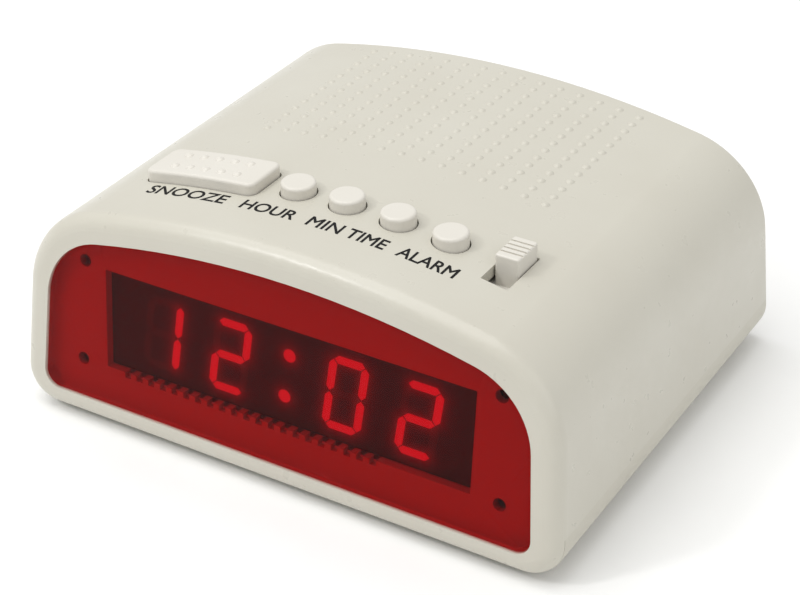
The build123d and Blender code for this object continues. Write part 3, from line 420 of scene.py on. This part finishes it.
def fillet_row():
    """Nodes for a row of solder fillets: waisted cones at an even pitch."""
    tree = bpy.data.node_groups.new("fillet_row", "GeometryNodeTree")
    tree.interface.new_socket("Row", in_out="OUTPUT", socket_type="NodeSocketGeometry")
    for name, kind in (("Count", "Int"), ("First", "Vector"), ("Pitch", "Vector"), ("Turn", "Vector"),
                       ("Foot", "Float"), ("Tip", "Float"), ("Height", "Float"), ("Waist", "Float"),
                       ("Solder", "Material")):
        tree.interface.new_socket(name, in_out="INPUT", socket_type="NodeSocket" + kind)
    given = tree.nodes.new("NodeGroupInput").outputs

    def node(kind, operation=None, **inputs):
        """A node with its inputs set or joined; _0 is its first input and _1 its second."""
        made = tree.nodes.new(kind)
        if operation:
            made.operation = operation
        for place, source in inputs.items():
            key = int(place[1:]) if place[0] == "_" else place.replace("_", " ")
            if isinstance(source, bpy.types.NodeSocket):
                tree.links.new(source, made.inputs[key])
            else:
                made.inputs[key].default_value = source
        return made.outputs

    cone = node("GeometryNodeMeshCone", Vertices=12, Side_Segments=5, Radius_Bottom=given["Foot"],
                Radius_Top=given["Tip"], Depth=given["Height"])["Mesh"]
    spot = node("GeometryNodeInputPosition")["Position"]
    rise = node("ShaderNodeSeparateXYZ", Vector=spot)["Z"]
    share = node("ShaderNodeMath", "DIVIDE", _0=rise, _1=given["Height"])["Value"]
    rest = node("ShaderNodeMath", "SUBTRACT", _0=1.0, _1=share)["Value"]
    bow = node("ShaderNodeMath", "MULTIPLY", _0=share, _1=rest)["Value"]
    pulled = node("ShaderNodeMath", "MULTIPLY", _0=bow, _1=given["Waist"])["Value"]
    slim = node("ShaderNodeMath", "SUBTRACT", _0=1.0, _1=pulled)["Value"]
    factor = node("ShaderNodeCombineXYZ", X=slim, Y=slim, Z=1.0)["Vector"]
    waisted = node("ShaderNodeVectorMath", "MULTIPLY", _0=spot, _1=factor)["Vector"]
    fillet = node("GeometryNodeSetPosition", Geometry=cone, Position=waisted)["Geometry"]
    line = node("GeometryNodeMeshLine", Count=given["Count"], Start_Location=given["First"],
                Offset=given["Pitch"])["Mesh"]
    turned = node("FunctionNodeEulerToRotation", Euler=given["Turn"])["Rotation"]
    row = node("GeometryNodeInstanceOnPoints", Points=line, Instance=fillet,
               Rotation=turned)["Instances"]
    solid = node("GeometryNodeRealizeInstances", Geometry=row)["Geometry"]
    soldered = node("GeometryNodeSetMaterial", Geometry=solid, Material=given["Solder"])["Geometry"]
    tree.links.new(soldered, tree.nodes.new("NodeGroupOutput").inputs["Row"])
    return tree


def grown(name, tree, sizes):
    """A plain mesh object of what a tree makes from its named sizes."""
    holder = bpy.data.objects.new(name, bpy.data.meshes.new(name))
    bpy.context.collection.objects.link(holder)
    rule = holder.modifiers.new("rule", "NODES")
    rule.node_group = tree
    for socket in tree.interface.items_tree:
        if socket.in_out == "INPUT":
            rule[socket.identifier] = sizes[socket.name]
    bpy.context.view_layer.update()
    holder.data = finished_mesh(holder)
    holder.modifiers.clear()
    return holder


pin_foot = face_origin + Vector((FIRST_PIN_X, 0, 0)) + face_up * PIN_U + face_out * board_back
pin_solder = grown("pin_solder", fillet_row(), {
    "Count": PIN_COUNT,
    "First": pin_foot,
    "Pitch": (PIN_PITCH, 0, 0),
    "Turn": (-(math.pi / 2 + LEAN), 0, 0),
    "Foot": 0.85 * MM,
    "Tip": 0.44 * MM,
    "Height": 0.9 * MM,
    "Waist": 1.1,
    "Solder": tinned,
})
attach(pin_solder, "clock")


def painted_glow_film():
    """Clear sheet over the display's face with a painted glow: a halo emitted round each lit segment."""
    finish, nodes, links, shader, place = start_finish("painted_glow_film")
    nodes.remove(shader)
    halo = nodes.new("ShaderNodeAttribute")
    halo.attribute_name = "halo"
    clear = nodes.new("ShaderNodeBsdfTransparent")
    clear.inputs["Color"].default_value = (0.97, 0.95, 0.95, 1)
    glow = nodes.new("ShaderNodeEmission")
    glow.inputs["Color"].default_value = (1.0, 0.02, 0.13, 1)
    glow.inputs["Strength"].default_value = 0.7
    both = nodes.new("ShaderNodeMixShader")
    links.new(halo.outputs["Fac"], both.inputs["Fac"])
    links.new(clear.outputs["BSDF"], both.inputs[1])
    links.new(glow.outputs["Emission"], both.inputs[2])
    links.new(both.outputs["Shader"], nodes["Material Output"].inputs["Surface"])
    finish.cycles.emission_sampling = "NONE"
    return finish


FILM_GAP = 0.05 * MM
FILM_STEP = 0.3 * MM
HALO_REACH = 0.8 * MM
HALO_MOST = 0.26


def glow_sheet_grid():
    """The glow sheet: a fine grid just above the module's face, which holds each place's share of the
    painted halo.
    """
    near = BVHTree.FromObject(lit_segments, bpy.context.evaluated_depsgraph_get())
    corners = [on_face(v.co) for v in part["display_housing"].data.vertices]
    left, right = min(c[0] for c in corners), max(c[0] for c in corners)
    low, high = min(c[1] for c in corners), max(c[1] for c in corners)
    depth = max((v.co - face_origin).dot(face_out) for v in part["display_housing"].data.vertices)
    across, up = round((right - left) / FILM_STEP), round((high - low) / FILM_STEP)
    grid = bmesh.new()
    bmesh.ops.create_grid(grid, x_segments=across, y_segments=up, size=0.5)
    level = grid.verts.layers.float.new("halo")
    for v in grid.verts:
        x = (left + right) / 2 + v.co.x * (right - left)
        u = (low + high) / 2 + v.co.y * (high - low)
        v.co = face_origin + Vector((x, 0, 0)) + face_up * u + face_out * (depth + FILM_GAP)
        away = near.find_nearest(v.co)[3] - FILM_GAP
        v[level] = HALO_MOST * math.exp(-max(away, 0) / HALO_REACH)
    return set_down("painted_glow_sheet", grid)


# The sheet over the display's face glows with a painted halo round the lit segments.
painted_glow_sheet = wear(glow_sheet_grid(), painted_glow_film())
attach(painted_glow_sheet, "clock")

# ---- Key board's plungers and lever ----
# Black acetal plungers stand on the push switches, and the slide switch's lever reaches up into
# its knob.
acetal = moulded_plastic(
    "acetal", light=(0.024, 0.024, 0.025), dark=(0.016, 0.016, 0.017),
    gloss=0.4, grain=0.4 * MM, depth=0.01 * MM)
for key in ("hour", "minute", "time", "alarm", "snooze"):
    wear(part[key + "_plunger"], acetal)
wear(part["switch_lever"], acetal)

# ---- Case ----
# Crown, walls and front frame are one moulding in warm white ABS. Its crown carries rows of low
# round pips, and its faces have the satin of a finely blasted mould.
case_plastic = moulded_plastic(
    "case_plastic", light=(0.565, 0.545, 0.472), dark=(0.545, 0.522, 0.448),
    gloss=0.31, grain=0.5 * MM, depth=0.003 * MM)
SHARP = math.radians(13)  # a steeper turn between facets is an edge
PLAIN_Y = -30 * MM  # the crown has no hole or pip along here
ARC_SIDE = 20 * MM
ARC_PLAY = 0.03 * MM
ABOVE = 100 * MM  # from here the crown is looked at straight down


def true_faces(node, name):
    """A node's solids with its facets joined, so that flats shade flat and roundings shade round."""
    mesh = merged_copy(node)
    for face in mesh.faces:
        face.smooth = True
    shell = set_down(name, mesh)
    shell.data.set_sharp_from_angle(angle=SHARP)
    weighing = shell.modifiers.new("weigh", "WEIGHTED_NORMAL")
    weighing.keep_sharp = True
    weighing.weight = 90
    shell.data = finished_mesh(shell)
    shell.modifiers.clear()
    return shell


def height_at(shell, x, y):
    """How high a shell's top is over that place."""
    return shell.ray_cast(Vector((x, y, ABOVE)), Vector((0, 0, -1)))[0].z


def even_crown(shell):
    """Gives the crown's facets the directions of its true arc, so no facet edge shows between pips."""
    mesh = shell.data
    tree = BVHTree.FromObject(shell, bpy.context.evaluated_depsgraph_get())
    top = height_at(tree, 0, PLAIN_Y)
    drop = top - height_at(tree, ARC_SIDE, PLAIN_Y)
    radius = (ARC_SIDE ** 2 + drop ** 2) / (2 * drop)
    axis = top - radius
    normals = [corner.vector.copy() for corner in mesh.corner_normals]
    for face in mesh.polygons:
        corners = [mesh.vertices[v].co for v in face.vertices]
        if all(abs(math.hypot(c.x, c.z - axis) - radius) < ARC_PLAY for c in corners):
            for loop, c in zip(face.loop_indices, corners):
                normals[loop] = Vector((c.x, 0, c.z - axis)).normalized()
    mesh.normals_split_custom_set(normals)
    return shell


case_shell = wear(even_crown(true_faces("case", "case_shell")), case_plastic)
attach(case_shell, "clock")
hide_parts("case")

# ---- Lens ----
# A flat plate of deep red acrylic with polished faces, held in the front frame by four pegs.
LENS_BACK = 2.3 * MM
LENS_CLEAR = 0.04 * MM


def red_acrylic():
    """Clear red, so lamps reach what is behind it, with a polished face."""
    finish, nodes, links, shader, place = start_finish("red_acrylic")
    nodes.remove(shader)
    through = nodes.new("ShaderNodeBsdfTransparent")
    through.inputs["Color"].default_value = (0.81, 0.24, 0.24, 1)
    polish = nodes.new("ShaderNodeBsdfGlossy")
    polish.inputs["Color"].default_value = (1, 1, 1, 1)
    ripple = speckle(nodes, links, place, 9 * MM)
    links.new(spread(nodes, links, ripple, 0.03, 0.07), polish.inputs["Roughness"])
    tilt = nodes.new("ShaderNodeLayerWeight")
    tilt.inputs["Blend"].default_value = 0.5  # even from face on to edge on
    steep = nodes.new("ShaderNodeMath")
    steep.operation = "POWER"
    steep.inputs[1].default_value = 5
    links.new(tilt.outputs["Facing"], steep.inputs[0])
    mirrored = spread(nodes, links, steep.outputs["Value"], 0.008, 1, 0, 1)
    body = nodes.new("ShaderNodeBsdfDiffuse")
    body.inputs["Color"].default_value = (0.55, 0.008, 0.006, 1)
    clouded = nodes.new("ShaderNodeMixShader")
    clouded.inputs["Fac"].default_value = 0.009
    links.new(through.outputs["BSDF"], clouded.inputs[1])
    links.new(body.outputs["BSDF"], clouded.inputs[2])
    both = nodes.new("ShaderNodeMixShader")
    links.new(mirrored, both.inputs["Fac"])
    links.new(clouded.outputs["Shader"], both.inputs[1])
    links.new(polish.outputs["BSDF"], both.inputs[2])
    links.new(both.outputs["Shader"], nodes["Material Output"].inputs["Surface"])
    return finish


def frosted_acrylic():
    """The pegs' melted ends, which scatter the light."""
    finish, nodes, links, shader, place = start_finish("frosted_acrylic")
    melt = spread(nodes, links, speckle(nodes, links, place, 0.8 * MM), 0, 1)
    red = blend_tones(nodes, links, melt, first=(0.75, 0.12, 0.10), second=(0.62, 0.09, 0.08))
    links.new(red, shader.inputs["Base Color"])
    shader.inputs["Roughness"].default_value = 0.55
    roughen(nodes, links, shader, melt, 0.05 * MM)
    return finish


def lens_plate():
    """The plate with flat faces, its back just clear of the panel; what stands behind is its pegs."""
    mesh = merged_copy("lens")
    for face in mesh.faces:
        face.smooth = False
        behind = (face.calc_center_median() - face_origin).dot(face_out) < -LENS_BACK - LENS_CLEAR
        face.material_index = 1 if behind else 0
    for v in mesh.verts:
        if abs((v.co - face_origin).dot(face_out) + LENS_BACK) < LENS_CLEAR:
            v.co += face_out * LENS_CLEAR
    return set_down("lens_plate", mesh)


lens = wear(lens_plate(), red_acrylic())
lens.data.materials.append(frosted_acrylic())
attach(lens, "clock")
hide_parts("lens")

# ---- Keys, snooze bar and switch knob ----
# Satin caps in the same family of white, a little cleaner and brighter than the case. Each
# stands loose in its hole on its switch.
key_plastic = moulded_plastic(
    "key_plastic", light=(0.67, 0.645, 0.585), dark=(0.65, 0.62, 0.555),
    gloss=0.33, grain=0.4 * MM, depth=0.003 * MM)
for node in ("hour_button", "minute_button", "time_button", "alarm_button", "snooze_bar", "switch_knob"):
    wear(part[node], key_plastic)

# ---- Printed labels ----
# The keys' functions are pad-printed in black ink on the crown, in front of the keys. The words
# follow the crown's curve.
LABEL_Y = -29.4 * MM
LABEL_H = 3.0 * MM
INK = 0.03 * MM
STROKE_GROW = 0.016  # of the typeface's size, on each side of a stroke
LONGEST_CORNER = 1 / 0.6
crown = BVHTree.FromObject(case_shell, bpy.context.evaluated_depsgraph_get())


def outward(corner):
    """Which way a corner of a letter moves, and how far, when its strokes grow by one."""
    sides = [f.normal for f in corner.link_faces if abs(f.normal.z) < 0.5]
    across = sum(sides, Vector()).normalized()
    return across / max(min(across.dot(n) for n in sides), 1 / LONGEST_CORNER)


def printed_word(word, left, right):
    """One word between left and right, laid on the crown as a thin closed skin of ink."""
    text = bpy.data.curves.new(word, "FONT")
    text.body = word
    text.extrude = 0.5
    text.resolution_u = 4
    holder = bpy.data.objects.new(word, text)
    bpy.context.collection.objects.link(holder)
    bpy.context.view_layer.update()
    letters = bmesh.new()
    letters.from_mesh(finished_mesh(holder))
    bpy.data.objects.remove(holder)
    bmesh.ops.remove_doubles(letters, verts=letters.verts, dist=0.0001)
    letters.normal_update()
    bolder = {v: v.co + outward(v) * STROKE_GROW for v in letters.verts}
    low_x, high_x = min(c.x for c in bolder.values()), max(c.x for c in bolder.values())
    low_y, high_y = min(c.y for c in bolder.values()), max(c.y for c in bolder.values())
    for v, place in bolder.items():
        x = left + (place.x - low_x) / (high_x - low_x) * (right - left)
        y = LABEL_Y + (place.y - low_y) / (high_y - low_y) * LABEL_H
        v.co = (x, y, height_at(crown, x, y) + (INK if place.z > 0 else -INK))
    mesh = bpy.data.meshes.new(word)
    letters.to_mesh(mesh)
    letters.free()
    return mesh


def label_ink():
    """Matt black pad-printing ink, a little uneven in its cover."""
    finish, nodes, links, shader, place = start_finish("label_ink")
    cover = spread(nodes, links, speckle(nodes, links, place, 0.25 * MM, 4.0), 0, 1)
    black = blend_tones(nodes, links, cover, first=(0.006, 0.006, 0.006), second=(0.014, 0.014, 0.014))
    links.new(black, shader.inputs["Base Color"])
    links.new(spread(nodes, links, cover, 0.55, 0.75, 0, 1), shader.inputs["Roughness"])
    shader.inputs["Specular IOR Level"].default_value = 0.15
    return finish


WORDS = (
    ("SNOOZE", -34.5, -18.0),
    ("HOUR", -14.7, -3.9),
    ("MIN", -1.3, 5.2),
    ("TIME", 6.3, 13.8),
    ("ALARM", 16.1, 26.9),
)
labels = bmesh.new()
for word, left, right in WORDS:
    labels.from_mesh(printed_word(word, left * MM, right * MM))
key_labels = wear(set_down("key_labels", labels), label_ink())
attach(key_labels, "clock")

# ---- Stage, lamps and camera ----
# A plain pale floor under a wide soft overhead lamp, with a gentle fill from the right and a small
# lamp from the front left that draws the light line along the front frame's ridge.
FLOOR_HALF = 1.6
CLOCK_MIDDLE = Vector((0, 0, 20 * MM))
ground = bmesh.new()
bmesh.ops.create_grid(ground, x_segments=1, y_segments=1, size=FLOOR_HALF)
floor_paint = moulded_plastic(
    "floor_paint", light=(0.93, 0.93, 0.92), dark=(0.91, 0.91, 0.90),
    gloss=0.7, grain=4 * MM, depth=0.02 * MM)
floor = wear(set_down("floor", ground), floor_paint)

world = bpy.data.worlds.new("studio")
world.use_nodes = True
world.node_tree.nodes["Background"].inputs["Color"].default_value = (1, 1, 1, 1)
world.node_tree.nodes["Background"].inputs["Strength"].default_value = 0.70
bpy.context.scene.world = world


def soft_lamp(name, at, size, watts):
    """A square softbox of that size in metres, turned to the clock."""
    light = bpy.data.lights.new(name, "AREA")
    light.size = size
    light.energy = watts
    lamp = bpy.data.objects.new(name, light)
    lamp.location = at
    lamp.rotation_euler = (Vector(at) - CLOCK_MIDDLE).to_track_quat("Z", "Y").to_euler()
    bpy.context.collection.objects.link(lamp)


soft_lamp("overhead", at=(-0.2, -0.1, 0.9), size=0.9, watts=5.0)
soft_lamp("right", at=(0.9, -0.1, 0.5), size=0.6, watts=0.7)
soft_lamp("ridge", at=(-0.46, -0.55, 0.74), size=0.12, watts=1.7)

AZIMUTH = math.radians(31.38)
ELEVATION = math.radians(32.15)
ROLL = math.radians(-0.744)
camera = bpy.data.objects.new("camera", bpy.data.cameras.new("camera"))
camera.data.lens = 91.03
camera.data.sensor_width = 36.0
camera.data.clip_start = 0.01
camera.location = (0.16295, -0.26853, 0.21268)
turn = Matrix.Rotation(AZIMUTH, 4, "Z") @ Matrix.Rotation(math.pi / 2 - ELEVATION, 4, "X")
camera.rotation_euler = (turn @ Matrix.Rotation(ROLL, 4, "Z")).to_euler()
bpy.context.collection.objects.link(camera)
bpy.context.scene.camera = camera
bpy.context.scene.view_settings.view_transform = "Standard"
